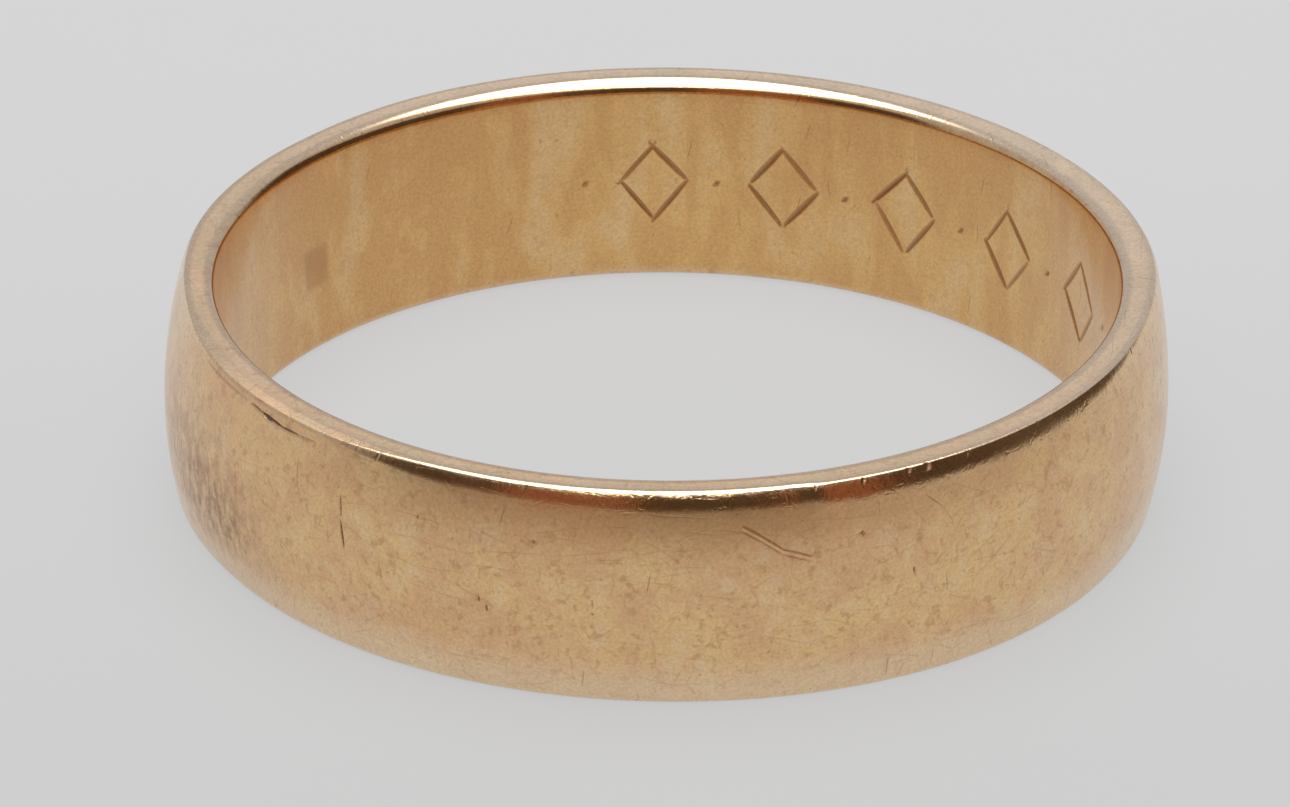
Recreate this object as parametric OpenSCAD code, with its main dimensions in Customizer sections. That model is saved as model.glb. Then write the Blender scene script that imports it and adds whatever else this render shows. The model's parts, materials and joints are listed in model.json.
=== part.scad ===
// Wedding band: one strip of gold with a low-domed (D) section, bent round and closed with a soldered butt joint.
// The origin is at the middle of the finger hole, half way across the band. +Z runs along the axis of the hole.
// The bore wall carries a hand-cut row of open lozenges and dots, and one worn punch mark with nothing in it.

/* [Band] */
// Diameter of the finger hole
bore_d = 19; // [15.5:0.1:22]
// Width of the band, along the axis of the hole
band_w = 4.75; // [3.5:0.05:6]
// Thickness of the wall at the crown, half way across the band
crown_t = 1.1; // [1:0.05:1.6]
// How far the domed face falls from the crown to its edge
dome_rise = 0.34; // [0.2:0.02:0.44]
// Radius of the two outer corners, rounded by wear
outer_corner_r = 0.15; // [0.05:0.01:0.25]
// Radius of the two inner corners, eased for comfort
inner_corner_r = 0.1; // [0.05:0.01:0.2]

/* [Seam] */
// Where the joint is, in degrees round from +X
seam_at = 287; // [0:1:359]
// Thickness of the film of solder between the two cut ends
seam_w = 0.08; // [0.05:0.01:0.2]

/* [Engraving] */
// Number of open lozenges in the row
lozenges = 5; // [1:1:7]
// Middle of the row, in degrees round from +X
row_at = 57; // [0:1:359]
// Length of one lozenge, along the width of the band
lozenge_h = 1.9; // [1:0.1:2.2]
// Width of one lozenge, round the bore
lozenge_w = 1.5; // [0.8:0.1:1.6]
// Distance from one lozenge to the next, round the bore
lozenge_pitch = 2.9; // [2.4:0.1:3.2]
// Width of a cut line
line_w = 0.14; // [0.1:0.02:0.2]
// Depth of a cut line
cut_depth = 0.06; // [0.03:0.01:0.1]
// Diameter of the dots between the lozenges
dot_d = 0.34; // [0.2:0.02:0.5]
// Middle of the worn punch mark, in degrees round from +X
punch_at = 143; // [0:1:359]

/* [Hidden] */
$fn = 180;
bore_r = bore_d / 2;
crown_r = bore_r + crown_t;
half_w = band_w / 2;
// A circle through the crown and both edges of the domed face
dome_r = (half_w * half_w + dome_rise * dome_rise) / (2 * dome_rise);
dome_x = crown_r - dome_r;
// Middle of an outer corner's rounding, which touches the side face and the dome
outer_z = half_w - outer_corner_r;
outer_x = dome_x + sqrt(pow(dome_r - outer_corner_r, 2) - pow(outer_z, 2));
// Middle of an inner corner's rounding, which touches the side face and the bore
inner_z = half_w - inner_corner_r;
inner_x = bore_r + inner_corner_r;
pitch_angle = lozenge_pitch / bore_r * 180 / PI;
// How far the cutters start inside the bore, to come cleanly through its wall
run_in = 0.5;
punch_w = 0.8;
punch_h = 1.1;

// What a rounding of radius r takes off a corner. The two legs point from its middle to where it touches the faces.
module corner_waste(middle, leg_a, leg_b, r) {
    reach = 3 * r;
    difference() {
        polygon([
            middle,
            middle + reach * leg_a,
            middle + reach * (leg_a + leg_b),
            middle + reach * leg_b
        ]);
        translate(middle) circle(r);
    }
}

// The D-shaped section of the strip, at its place to the right of the axis
module section() {
    dome_leg = [outer_x - dome_x, outer_z] / (dome_r - outer_corner_r);
    difference() {
        intersection() {
            translate([bore_r, -half_w]) square([crown_t, band_w]);
            translate([dome_x, 0]) circle(dome_r);
        }
        for (side = [0, 1]) mirror([0, side]) {
            corner_waste([outer_x, outer_z], [0, 1], dome_leg, outer_corner_r);
            corner_waste([inner_x, inner_z], [0, 1], [-1, 0], inner_corner_r);
        }
    }
}

// The closed ring, before the joint is sawn through and before anything is cut in it
module blank_ring() {
    rotate_extrude() section();
}

// The gap that the saw leaves between the two ends
module saw_cut() {
    rotate(seam_at)
        translate([bore_r - run_in, -seam_w / 2, -band_w])
            cube([crown_t + 2 * run_in, seam_w, 2 * band_w]);
}

// Stands a flat outline against the bore wall at an angle round it, and sinks it by the cutting depth
module cut_into_bore(angle) {
    rotate(angle)
        translate([bore_r - run_in, 0, 0])
            rotate([90, 0, 90])
                linear_extrude(run_in + cut_depth) children();
}

module lozenge(w, h) {
    polygon([[w / 2, 0], [0, h / 2], [-w / 2, 0], [0, -h / 2]]);
}

// An open lozenge, whose line has the same width on all four sides
module open_lozenge() {
    slant = sqrt(lozenge_w * lozenge_w + lozenge_h * lozenge_h);
    inset_w = 2 * line_w * slant / lozenge_h;
    inset_h = 2 * line_w * slant / lozenge_w;
    difference() {
        lozenge(lozenge_w, lozenge_h);
        lozenge(lozenge_w - inset_w, lozenge_h - inset_h);
    }
}

// The row of open lozenges, with a dot on each side of every one
module engraving() {
    for (i = [0 : lozenges - 1])
        cut_into_bore(row_at + (i - (lozenges - 1) / 2) * pitch_angle) open_lozenge();
    for (i = [0 : lozenges])
        cut_into_bore(row_at + (i - lozenges / 2) * pitch_angle) circle(d = dot_d);
}

// The worn punch mark: a shallow plain oblong
module punch_mark() {
    cut_into_bore(punch_at) square([punch_w, punch_h], center = true);
}

module band() {
    color("#bd9669") difference() {
        blank_ring();
        saw_cut();
        engraving();
        punch_mark();
    }
}

// Hard gold solder, faced off flush with the band inside and out
module solder_seam() {
    color("#c9a874") intersection() {
        blank_ring();
        saw_cut();
    }
}

band();
solder_seam();
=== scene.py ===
"""A worn gold wedding band lying on a pale studio table.

The band is one D-section strip bent round to a C. A film of hard solder closes its two ends. Lengths in this
file are in millimetres and angles in degrees, both in the band's own frame: the origin is in the middle of
the finger hole, +Z runs along the axis of the hole, and angles count from +X towards +Y. Meshes are in metres.
"""

import json
import logging
import math
from dataclasses import dataclass, field
from enum import Enum
from typing import ClassVar

import bmesh
import bpy
import numpy as np
from mathutils import Matrix, Vector


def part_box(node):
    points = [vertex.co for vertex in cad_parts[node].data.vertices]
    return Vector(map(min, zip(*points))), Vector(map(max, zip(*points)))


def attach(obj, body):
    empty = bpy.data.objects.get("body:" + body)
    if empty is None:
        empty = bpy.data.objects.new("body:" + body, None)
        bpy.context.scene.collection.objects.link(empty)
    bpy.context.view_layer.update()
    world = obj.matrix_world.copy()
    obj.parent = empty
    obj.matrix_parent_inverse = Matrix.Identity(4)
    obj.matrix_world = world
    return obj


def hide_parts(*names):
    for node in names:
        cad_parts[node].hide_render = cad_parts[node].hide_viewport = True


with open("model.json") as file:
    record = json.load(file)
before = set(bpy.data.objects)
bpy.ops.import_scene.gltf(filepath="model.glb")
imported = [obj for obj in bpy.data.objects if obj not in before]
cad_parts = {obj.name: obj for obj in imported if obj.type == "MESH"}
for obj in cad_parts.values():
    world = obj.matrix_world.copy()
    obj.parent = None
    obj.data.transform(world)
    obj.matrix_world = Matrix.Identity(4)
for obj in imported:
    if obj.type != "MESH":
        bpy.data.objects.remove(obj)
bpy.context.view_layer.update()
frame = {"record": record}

LOG = logging.getLogger("wedding_band")
MM = 0.001
FULL_TURN = 360.0
HALF_TURN = 180.0

Colour = tuple[float, float, float]
Socket = bpy.types.NodeSocket


class Zone(Enum):
    """The stretches of the strip's section, in order, each one unit of run long."""

    LOWER_SIDE_IN = 0
    LOWER_INNER_CORNER = 1
    BORE = 2
    UPPER_INNER_CORNER = 3
    UPPER_SIDE = 4
    UPPER_RIM = 5
    UPPER_FACET = 6
    UPPER_BEND = 7
    UPPER_SHOULDER = 8
    UPPER_DOME = 9
    LOWER_DOME = 10
    LOWER_SHOULDER = 11
    LOWER_RIM = 12
    LOWER_SIDE_OUT = 13


def nearest_turn(angle: np.ndarray) -> np.ndarray:
    """The same angles, counted from -180 to 180 degrees."""
    return (np.asarray(angle, float) + HALF_TURN) % FULL_TURN - HALF_TURN


def bell(away: np.ndarray, spread: float) -> np.ndarray:
    """A bell curve, 1 at its middle and about 0.6 at its spread."""
    return np.exp(-0.5 * (away / spread) ** 2)


def ramp(value: np.ndarray, low: float, high: float) -> np.ndarray:
    """A soft step from 0 at low to 1 at high.

    Args:
        value: the values to step.
        low: where the step starts.
        high: where it ends.

    Returns:
        The step at each value.
    """
    part = np.clip((np.asarray(value, float) - low) / (high - low), 0.0, 1.0)
    return part * part * (3.0 - 2.0 * part)


@dataclass(frozen=True)
class Swell:
    """A smooth bump round the band: where its middle is, how far it spreads and how high it is."""

    middle: float
    spread: float
    height: float = 1.0

    def at(self, angle: np.ndarray) -> np.ndarray:
        """Height of the bump at each angle, about 0.6 of its peak where it has spread to."""
        return self.height * bell(nearest_turn(angle - self.middle), self.spread)


@dataclass(frozen=True)
class Stretch:
    """A stretch with soft ends: it comes in between two values and goes out again between two more."""

    enters: tuple[float, float]
    leaves: tuple[float, float]

    def at(self, value: np.ndarray) -> np.ndarray:
        """1 inside the stretch, 0 outside it, and between the two at its soft ends."""
        return ramp(value, *self.enters) * (1.0 - ramp(value, *self.leaves))


@dataclass(frozen=True)
class EdgeChange:
    """What one kind of wear adds to the sizes of an edge, in millimetres."""

    rim: float = 0.0
    facet: float = 0.0
    shoulder: float = 0.0
    dome: float = 0.0


@dataclass
class WornEdge:
    """How wear has rounded one edge of the domed face, at each angle round the band.

    Going outwards over the edge, the side face turns down through a rim, may run straight down a facet, bends
    on, eases through a shoulder and meets the dome. Slopes count from 0, upright, to 90 degrees, lying flat.
    """

    rim: np.ndarray
    facet: np.ndarray
    bend: np.ndarray
    shoulder: np.ndarray
    dome: np.ndarray
    height: np.ndarray
    facet_slope: float = 80.0
    shoulder_slope: float = 33.0

    def slopes(self) -> tuple[float, float, np.ndarray]:
        """Where the curves meet.

        Returns:
            The slopes at the facet, at the top of the shoulder and at its foot, in radians.
        """
        facet, top = math.radians(self.facet_slope), math.radians(self.shoulder_slope)
        rest = self.height - self.shoulder * math.sin(top) - self.bend * (math.sin(facet) - math.sin(top))
        rest = rest - self.facet * math.cos(facet) - self.rim * (1.0 - math.sin(facet))
        return facet, top, np.arcsin(rest / (self.dome - self.shoulder))

    def chain(self, crown: np.ndarray) -> dict[str, tuple[np.ndarray, np.ndarray, np.ndarray, float, float]]:
        """The curves from the crown to the side face, each starting where the one before it ends.

        Args:
            crown: the radius of the band's crown.

        Returns:
            For each curve, the distance from the axis and the height where it starts, its radius or length,
            and the slopes at its two ends.
        """
        facet, top, foot = self.slopes()
        rho, z = crown, np.zeros_like(crown)
        found = {}
        for label, radius, low, high in (
            ("dome", self.dome, np.zeros_like(foot), foot),
            ("shoulder", self.shoulder, foot, np.full_like(foot, top)),
            ("bend", self.bend, np.full_like(foot, top), np.full_like(foot, facet)),
            ("facet", self.facet, np.full_like(foot, facet), np.full_like(foot, facet)),
            ("rim", self.rim, np.full_like(foot, facet), np.full_like(foot, np.pi / 2)),
        ):
            found[label] = (rho, z, radius, low, high)
            if label == "facet":
                rho, z = rho - radius * np.sin(low), z + radius * np.cos(low)
            else:
                rho, z = rho - radius * (np.cos(low) - np.cos(high)), z + radius * (np.sin(high) - np.sin(low))
        found["side"] = (rho, z, rho, low, high)
        return found

    @staticmethod
    def along(curve: tuple, part: np.ndarray) -> tuple[np.ndarray, np.ndarray]:
        """Places on one of the curves.

        Args:
            curve: one of the curves that chain gives.
            part: from 0 at its start, nearest the crown, to 1 at its end.

        Returns:
            Distances from the axis and heights.
        """
        rho, z, radius, low, high = curve
        if np.all(low == high):
            return rho - radius * part * np.sin(low), z + radius * part * np.cos(low)
        turn = low + (high - low) * part
        return rho - radius * (np.cos(low) - np.cos(turn)), z + radius * (np.sin(turn) - np.sin(low))


@dataclass
class DSection:
    """The strip's section at each angle round the band, as worn on the hand.

    The swells and stretches say where round the band each kind of wear is. The two stretches at the joint
    count away from it, and the others count as all angles do.
    """

    bore_radius: float
    crown_radius: float
    half_width: float
    dome_radius: float = 8.2
    seam_angle: float = 287.0
    inner_corner: float = 0.12
    side_hollow: float = 0.006
    out_of_round: float = 0.012
    widest_at: float = 30.0
    measured_places: int = 6
    slow_dents: float = 0.010
    crown_loss: float = 0.012
    inner_wear: tuple[Swell, ...] = (Swell(98.0, 44.0, 0.2), Swell(290.0, 45.0, 0.07))
    crown_drop: tuple[Swell, ...] = (Swell(186.0, 12.0, 0.4), Swell(350.0, 13.0, 0.15))
    soft_before_joint: Stretch = Stretch((-1.5, 2.5), (38.0, 60.0))
    past_joint: Stretch = Stretch((-1.5, 2.5), (35.0, 60.0))
    full_behind: Stretch = Stretch((-20.0, 10.0), (116.0, 142.0))
    knocked_flat: Stretch = Stretch((188.0, 202.0), (228.0, 243.0))
    tight_shoulder: Swell = Swell(248.0, 8.0)
    crisp_below: Swell = Swell(330.0, 45.0)
    flat_below: Swell = Swell(310.0, 20.0)
    unworn_crown: Swell = Swell(185.0, 60.0)

    def bore(self, angle: np.ndarray) -> np.ndarray:
        """Radius of the bore wall, a few hundredths out of round."""
        return self.bore_radius + self.out_of_round * np.cos(np.radians(2 * (angle - self.widest_at)))

    def eased_inner(self, angle: np.ndarray) -> np.ndarray:
        """Radius of the inner corners, most worn at the back of the finger."""
        return self.inner_corner + sum(wear.at(angle) for wear in self.inner_wear)

    def lean(self, angle: np.ndarray) -> np.ndarray:
        """Height of the crown, which wear has pushed below the middle at both sides of the finger."""
        return -sum(drop.at(angle) for drop in self.crown_drop)

    def edge(self, wear: list[tuple[np.ndarray, EdgeChange]], height: np.ndarray) -> WornEdge:
        """An edge with several kinds of wear.

        Args:
            wear: how much there is of each kind at each angle, and what it adds to the edge.
            height: how high the edge stands above the crown.

        Returns:
            The worn edge.
        """
        rim, facet, shoulder, dome = (
            sum(amount * getattr(change, size) for amount, change in wear)
            for size in ("rim", "facet", "shoulder", "dome")
        )
        return WornEdge(rim, facet, rim, shoulder, self.dome_radius + dome, height)

    def upper_edge(self, angle: np.ndarray) -> WornEdge:
        """The upper edge: soft before the joint, knocked to a facet further back, fuller behind."""
        to_joint = nearest_turn(self.seam_angle - angle)
        wear = [
            (np.ones_like(angle), EdgeChange(rim=0.08, facet=0.01, shoulder=0.7, dome=0.8)),
            (self.soft_before_joint.at(to_joint), EdgeChange(rim=0.02, shoulder=0.55, dome=-1.0)),
            (self.past_joint.at(-to_joint), EdgeChange(rim=-0.03, shoulder=0.6, dome=2.0)),
            (self.knocked_flat.at(angle), EdgeChange(rim=-0.04, facet=0.17, shoulder=-0.4)),
            (self.full_behind.at(angle), EdgeChange(shoulder=-0.35, dome=2.6)),
            (self.tight_shoulder.at(angle), EdgeChange(shoulder=-0.25)),
        ]
        return self.edge(wear, self.half_width - self.lean(angle))

    def lower_edge(self, angle: np.ndarray) -> WornEdge:
        """The lower edge, which is less worn."""
        wear = [
            (np.ones_like(angle), EdgeChange(rim=0.12, facet=0.01, shoulder=0.5)),
            (self.crisp_below.at(angle), EdgeChange(rim=-0.05, shoulder=-0.2)),
            (self.flat_below.at(angle), EdgeChange(dome=3.0)),
        ]
        return self.edge(wear, self.half_width + self.lean(angle))

    def crown(self, angle: np.ndarray) -> np.ndarray:
        """Radius of the crown, with the slow dents of long wear, never outside the drawn size."""
        dents = self.slow_dents * (1.0 + np.cos(np.radians(3 * angle + 40.0)))
        return self.crown_radius - dents - self.crown_loss * (1.0 - self.unworn_crown.at(angle))

    def points(self, angle: np.ndarray, run: np.ndarray) -> tuple[np.ndarray, np.ndarray]:
        """Places on the unmarked surface.

        Args:
            angle: angles round the band, in degrees.
            run: places round the section, where each Zone is one unit long.

        Returns:
            The distance from the axis and the height of each place, in millimetres.
        """
        bore, half = self.bore(angle), self.half_width
        inner, crown = self.eased_inner(angle), self.crown(angle)
        lean = self.lean(angle)
        upper, lower = self.upper_edge(angle).chain(crown), self.lower_edge(angle).chain(crown)
        side_in = bore + inner
        upper_out, lower_out = upper["side"][0], lower["side"][0]
        lower_middle = (side_in + lower_out) / 2

        zone = np.clip(np.floor(run).astype(int), 0, len(Zone) - 1)
        part = run - zone
        quarter = np.pi / 2
        rho, z = np.zeros_like(run), np.zeros_like(run)

        def put(which: Zone, place: tuple[np.ndarray, np.ndarray]) -> None:
            """Fills in the places of one zone."""
            here = zone == which.value
            rho[here] = np.broadcast_to(place[0], run.shape)[here]
            z[here] = np.broadcast_to(place[1], run.shape)[here]

        def rise(curve: tuple, part: np.ndarray, way: float) -> tuple[np.ndarray, np.ndarray]:
            """Places on a curve of the upper edge (way 1) or the lower edge (way -1)."""
            out, up = WornEdge.along(curve, part)
            return out, lean + way * up

        put(Zone.LOWER_SIDE_IN, (lower_middle + (side_in - lower_middle) * part, -half))
        turn = quarter * (3 - part)
        put(Zone.LOWER_INNER_CORNER, (side_in + inner * np.cos(turn), -(half - inner) + inner * np.sin(turn)))
        put(Zone.BORE, (bore, (half - inner) * (2 * part - 1)))
        turn = quarter * (2 - part)
        put(Zone.UPPER_INNER_CORNER, (side_in + inner * np.cos(turn), half - inner + inner * np.sin(turn)))
        hollow = self.side_hollow * 4 * part * (1 - part)
        put(Zone.UPPER_SIDE, (side_in + (upper_out - side_in) * part, half - hollow))
        for which, label in (
            (Zone.UPPER_RIM, "rim"),
            (Zone.UPPER_FACET, "facet"),
            (Zone.UPPER_BEND, "bend"),
            (Zone.UPPER_SHOULDER, "shoulder"),
            (Zone.UPPER_DOME, "dome"),
        ):
            put(which, rise(upper[label], 1 - part, 1.0))
        put(Zone.LOWER_DOME, rise(lower["dome"], part, -1.0))
        put(Zone.LOWER_SHOULDER, rise(lower["shoulder"], part, -1.0))
        # The lower bend and rim share one zone, half each, and the facet between them is too short to draw.
        bend_rho, bend_z = rise(lower["bend"], np.clip(2 * part, 0.0, 1.0), -1.0)
        rim_rho, rim_z = rise(lower["rim"], np.clip(2 * part - 1, 0.0, 1.0), -1.0)
        first = part < 0.5
        put(Zone.LOWER_RIM, (np.where(first, bend_rho, rim_rho), np.where(first, bend_z, rim_z)))
        put(Zone.LOWER_SIDE_OUT, (lower_out + (lower_middle - lower_out) * part, -half))
        return rho, z

    def across(self, angle: np.ndarray, run: np.ndarray) -> np.ndarray:
        """Distance round the section, used to lay textures on the surface without stretching.

        Args:
            angle: angles round the band, in degrees.
            run: places round the section.

        Returns:
            The distance of each place from the middle of the lower side, in millimetres.
        """
        total = np.zeros_like(run)
        for zone in Zone:
            # The last place stays just short of the next zone's start.
            stops = np.linspace(zone.value, zone.value + 0.999, self.measured_places)
            places = [self.points(angle, np.full_like(run, stop)) for stop in stops]
            length = sum(
                np.hypot(after[0] - before[0], after[1] - before[1])
                for before, after in zip(places, places[1:], strict=False)
            )
            total += length * np.clip(run - zone.value, 0.0, 1.0)
        return total


@dataclass(frozen=True)
class Stroke:
    """One straight cut or scratch, from one (angle, height) to another.

    The first three shares are of half its width: how far the cut spreads, where the lip's ridge is and how
    far that spreads. The last is how deep and wide the stroke still is at its two tips.
    """

    tail: tuple[float, float]
    head: tuple[float, float]
    width: float
    depth: float
    lip: float = 0.0

    CUT_SPREAD: ClassVar[float] = 0.62
    LIP_PLACE: ClassVar[float] = 1.25
    LIP_SPREAD: ClassVar[float] = 0.45
    TIP_SHARE: ClassVar[float] = 0.45

    def sink(self, along: np.ndarray, height: np.ndarray, radius: float) -> np.ndarray:
        """How deep the stroke cuts at each place of a surface rolled out flat.

        Args:
            along: angles of the places, in degrees.
            height: their heights.
            radius: the radius of the surface that the stroke is on.

        Returns:
            Depths in millimetres, below zero on the lip that a tool throws up beside its cut.
        """
        arc = math.radians(1.0) * radius
        start = np.array([0.0, self.tail[1]])
        end = np.array([(self.head[0] - self.tail[0]) * arc, self.head[1]])
        away = nearest_turn(np.asarray(along) - self.tail[0])
        place = np.stack([away * arc, np.asarray(height)], axis=-1)
        leg = end - start
        length = max(float(np.hypot(*leg)), 1e-6)
        part = np.clip((place - start) @ leg / length**2, 0.0, 1.0)
        off = np.linalg.norm(place - (start + part[..., None] * leg), axis=-1)
        swept = np.sqrt(np.clip(4 * part * (1 - part), 0.0, 1.0))
        taper = self.TIP_SHARE + (1.0 - self.TIP_SHARE) * swept
        half = self.width / 2 * taper
        cut = self.depth * taper * np.exp(-((off / (self.CUT_SPREAD * half)) ** 2))
        from_ridge = off - self.LIP_PLACE * half
        lip = self.lip * taper * np.exp(-((from_ridge / (self.LIP_SPREAD * half)) ** 2))
        return cut - lip


@dataclass
class LozengeRow:
    """The hand-cut row of open lozenges and dots round the bore wall."""

    middle: float = 57.0
    count: int = 5
    pitch: float = 2.9
    width: float = 1.5
    height: float = 1.9
    line: float = 0.16
    depth: float = 0.045
    lip: float = 0.004
    dot: float = 0.3
    unsteadiness: float = 0.035
    seed: int = 7

    def strokes(self, radius: float) -> list[Stroke]:
        """The cuts of the row.

        Args:
            radius: the bore's radius.

        Returns:
            Four strokes for each lozenge and a short one for each dot.
        """
        hand = np.random.default_rng(self.seed)
        step = math.degrees(self.pitch / radius)
        half_angle = math.degrees(self.width / 2 / radius)
        cuts = []

        def shaky(angle: float, height: float) -> tuple[float, float]:
            """Where the graver really lands when it aims at a place."""
            slip = hand.normal(0.0, self.unsteadiness, 2)
            return angle + math.degrees(slip[0] / radius), height + slip[1]

        for number in range(self.count):
            centre = self.middle + (number - (self.count - 1) / 2) * step
            tips = [
                (centre + half_angle, 0.0),
                (centre, self.height / 2),
                (centre - half_angle, 0.0),
                (centre, -self.height / 2),
            ]
            for tip, following in zip(tips, tips[1:] + tips[:1], strict=True):
                width = self.line * hand.uniform(0.8, 1.15)
                depth = self.depth * hand.uniform(0.7, 1.1)
                cuts.append(Stroke(shaky(*tip), shaky(*following), width, depth, self.lip))
        for number in range(self.count + 1):
            centre = self.middle + (number - self.count / 2) * step
            place = shaky(centre, 0.0)
            # A dot is a very short stroke, because the graver is only pressed in and lifted.
            lifted = (place[0] + 0.2, place[1] + 0.05)
            cuts.append(Stroke(place, lifted, self.dot, self.depth * 0.8))
        return cuts


@dataclass
class PunchMark:
    """The worn punch mark on the bore wall: a shallow oblong with nothing in it."""

    angle: float = 143.0
    height: float = -0.35
    width: float = 0.8
    tall: float = 1.1
    depth: float = 0.03
    soft: float = 0.1
    lean: float = 0.12

    def sink(self, along: np.ndarray, height: np.ndarray, radius: float) -> np.ndarray:
        """How deep the mark is at each place.

        Args:
            along: angles of the places, in degrees.
            height: their heights.
            radius: the bore's radius.

        Returns:
            Depths in millimetres.
        """
        away = (np.asarray(along) - self.angle) * math.radians(1.0) * radius
        up = np.asarray(height) - self.height
        away = np.abs(away - self.lean * up)
        side = 1.0 - ramp(away, self.width / 2 - self.soft, self.width / 2 + self.soft)
        end = 1.0 - ramp(np.abs(up), self.tall / 2 - self.soft, self.tall / 2 + self.soft)
        return self.depth * side * end


@dataclass
class HandWear:
    """Scratches on the domed face, and nicks and knocks at its upper edge, from years on the hand.

    Lengths, widths and depths are given as their smallest and largest. A reach is how far below the top of
    the band a mark starts, and the depth and the lip of a nick or a knock are shares of its width.
    """

    radius: float
    half_width: float
    scratch_count: int = 46
    scratch_length: tuple[float, float] = (0.25, 1.3)
    scratch_width: tuple[float, float] = (0.025, 0.045)
    scratch_depth: tuple[float, float] = (0.003, 0.007)
    scratch_starts: float = 0.85
    scratch_ends: float = 0.9
    nick_count: int = 16
    nick_width: tuple[float, float] = (0.04, 0.1)
    nick_reach: tuple[float, float] = (0.06, 0.2)
    nick_depth: float = 0.07
    knock_count: int = 120
    knock_length: tuple[float, float] = (0.03, 0.2)
    knock_width: tuple[float, float] = (0.03, 0.06)
    knock_reach: tuple[float, float] = (0.08, 0.5)
    knock_depth: tuple[float, float] = (0.03, 0.08)
    knock_lip: float = 0.015
    knocks_from: float = 326.0
    knocks_over: float = 66.0
    knock_crowding: float = 1.6
    seed: int = 21

    def named_scratches(self) -> list[Stroke]:
        """The scratches that stand out from the rest."""
        wavy = [(278.5, 1.66), (280.6, 1.42), (282.9, 1.12), (286.2, 0.9)]
        bent = [(300.1, 1.8), (302.2, 1.45), (303.6, 1.0)]
        beside = 0.07
        found = []
        # The wavy scratch is a raised burr with a shallow cut along its lower side.
        for tail, head in zip(wavy, wavy[1:], strict=False):
            found.append(Stroke(tail, head, 0.085, -0.02))
            found.append(Stroke((tail[0], tail[1] - beside), (head[0], head[1] - beside), 0.05, 0.012))
        for tail, head in zip(bent, bent[1:], strict=False):
            found.append(Stroke(tail, head, 0.05, 0.012, 0.004))
        # An upright cut in two parts, well before the joint
        found += [
            Stroke((230.9, 1.25), (231.2, 0.8), 0.06, 0.035, 0.003),
            Stroke((231.1, 0.72), (231.7, 0.12), 0.08, 0.045, 0.004),
        ]
        # Short deep pits
        found += [
            Stroke((249.0, -0.15), (249.1, -0.25), 0.07, 0.035),
            Stroke((249.9, -0.3), (250.0, -0.46), 0.07, 0.035),
            Stroke((261.9, 0.1), (262.0, -0.08), 0.06, 0.025),
            Stroke((261.8, -0.2), (262.1, -0.24), 0.06, 0.025),
            Stroke((298.3, 0.28), (298.4, 0.14), 0.07, 0.035),
            Stroke((292.0, 1.3), (292.3, 1.27), 0.08, 0.03),
            Stroke((255.2, 1.28), (255.4, 1.24), 0.06, 0.025),
            Stroke((241.3, 1.35), (241.5, 1.28), 0.06, 0.025),
        ]
        # Long light scratches past the joint
        found += [
            Stroke((312.4, 0.42), (305.7, -0.47), 0.08, 0.01, 0.004),
            Stroke((310.4, 0.62), (304.7, 0.0), 0.07, 0.008, 0.003),
            Stroke((303.9, -1.56), (309.8, -1.5), 0.045, 0.012, 0.003),
            Stroke((316.0, 0.9), (313.5, 0.1), 0.035, 0.008, 0.003),
            Stroke((286.5, 1.05), (289.0, 0.25), 0.035, 0.006, 0.002),
        ]
        return found

    def chance_scratches(self) -> list[Stroke]:
        """Short light scratches at random, with a fixed seed."""
        chance = np.random.default_rng(self.seed)
        limit = self.scratch_ends * self.half_width
        found = []
        for _ in range(self.scratch_count):
            angle = chance.uniform(0.0, FULL_TURN)
            height = chance.uniform(-self.scratch_starts, self.scratch_starts) * self.half_width
            lean = chance.uniform(0.0, math.pi)
            length = chance.uniform(*self.scratch_length)
            along = math.degrees(length * math.cos(lean) / self.radius)
            head = (angle + along, float(np.clip(height + length * math.sin(lean), -limit, limit)))
            width = chance.uniform(*self.scratch_width)
            depth = chance.uniform(*self.scratch_depth)
            found.append(Stroke((angle, height), head, width, depth, 0.0015))
        return found

    def nicks(self) -> list[Stroke]:
        """Small knocks across the upper outer corner, as (angle, height) strokes that run over the edge."""
        chance = np.random.default_rng(self.seed + 1)
        top = self.half_width
        # Knocks that run over the edge, at the joint and past it
        found = [
            Stroke((287.0, top - 0.12), (287.05, top), 0.06, 0.007, 0.003),
            Stroke((292.6, top - 0.14), (292.8, top), 0.1, 0.012, 0.004),
            Stroke((298.3, top - 0.1), (298.5, top), 0.14, 0.01, 0.003),
            Stroke((300.7, top - 0.12), (301.1, top), 0.2, 0.02, 0.004),
            Stroke((306.2, top - 0.12), (306.4, top), 0.08, 0.01, 0.003),
            Stroke((317.3, top - 0.12), (317.5, top), 0.08, 0.01, 0.003),
        ]
        # The gash along the foot of the facet, deepest at its second stroke
        found += [
            Stroke((214.5, top - 0.2), (217.2, top - 0.26), 0.09, 0.03, 0.005),
            Stroke((216.8, top - 0.25), (220.6, top - 0.31), 0.12, 0.055, 0.01),
            Stroke((217.4, top - 0.3), (218.6, top - 0.33), 0.09, 0.04),
            Stroke((220.2, top - 0.31), (223.4, top - 0.3), 0.1, 0.035, 0.006),
            Stroke((223.0, top - 0.3), (226.5, top - 0.27), 0.09, 0.02, 0.004),
            Stroke((202.0, top - 0.17), (214.0, top - 0.19), 0.09, 0.018, 0.004),
        ]
        for _ in range(self.nick_count):
            angle = chance.uniform(0.0, FULL_TURN)
            width = chance.uniform(*self.nick_width)
            start = top - chance.uniform(*self.nick_reach)
            found.append(Stroke((angle, start), (angle + 0.3, top), width, width * self.nick_depth, 0.001))
        return found

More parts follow.
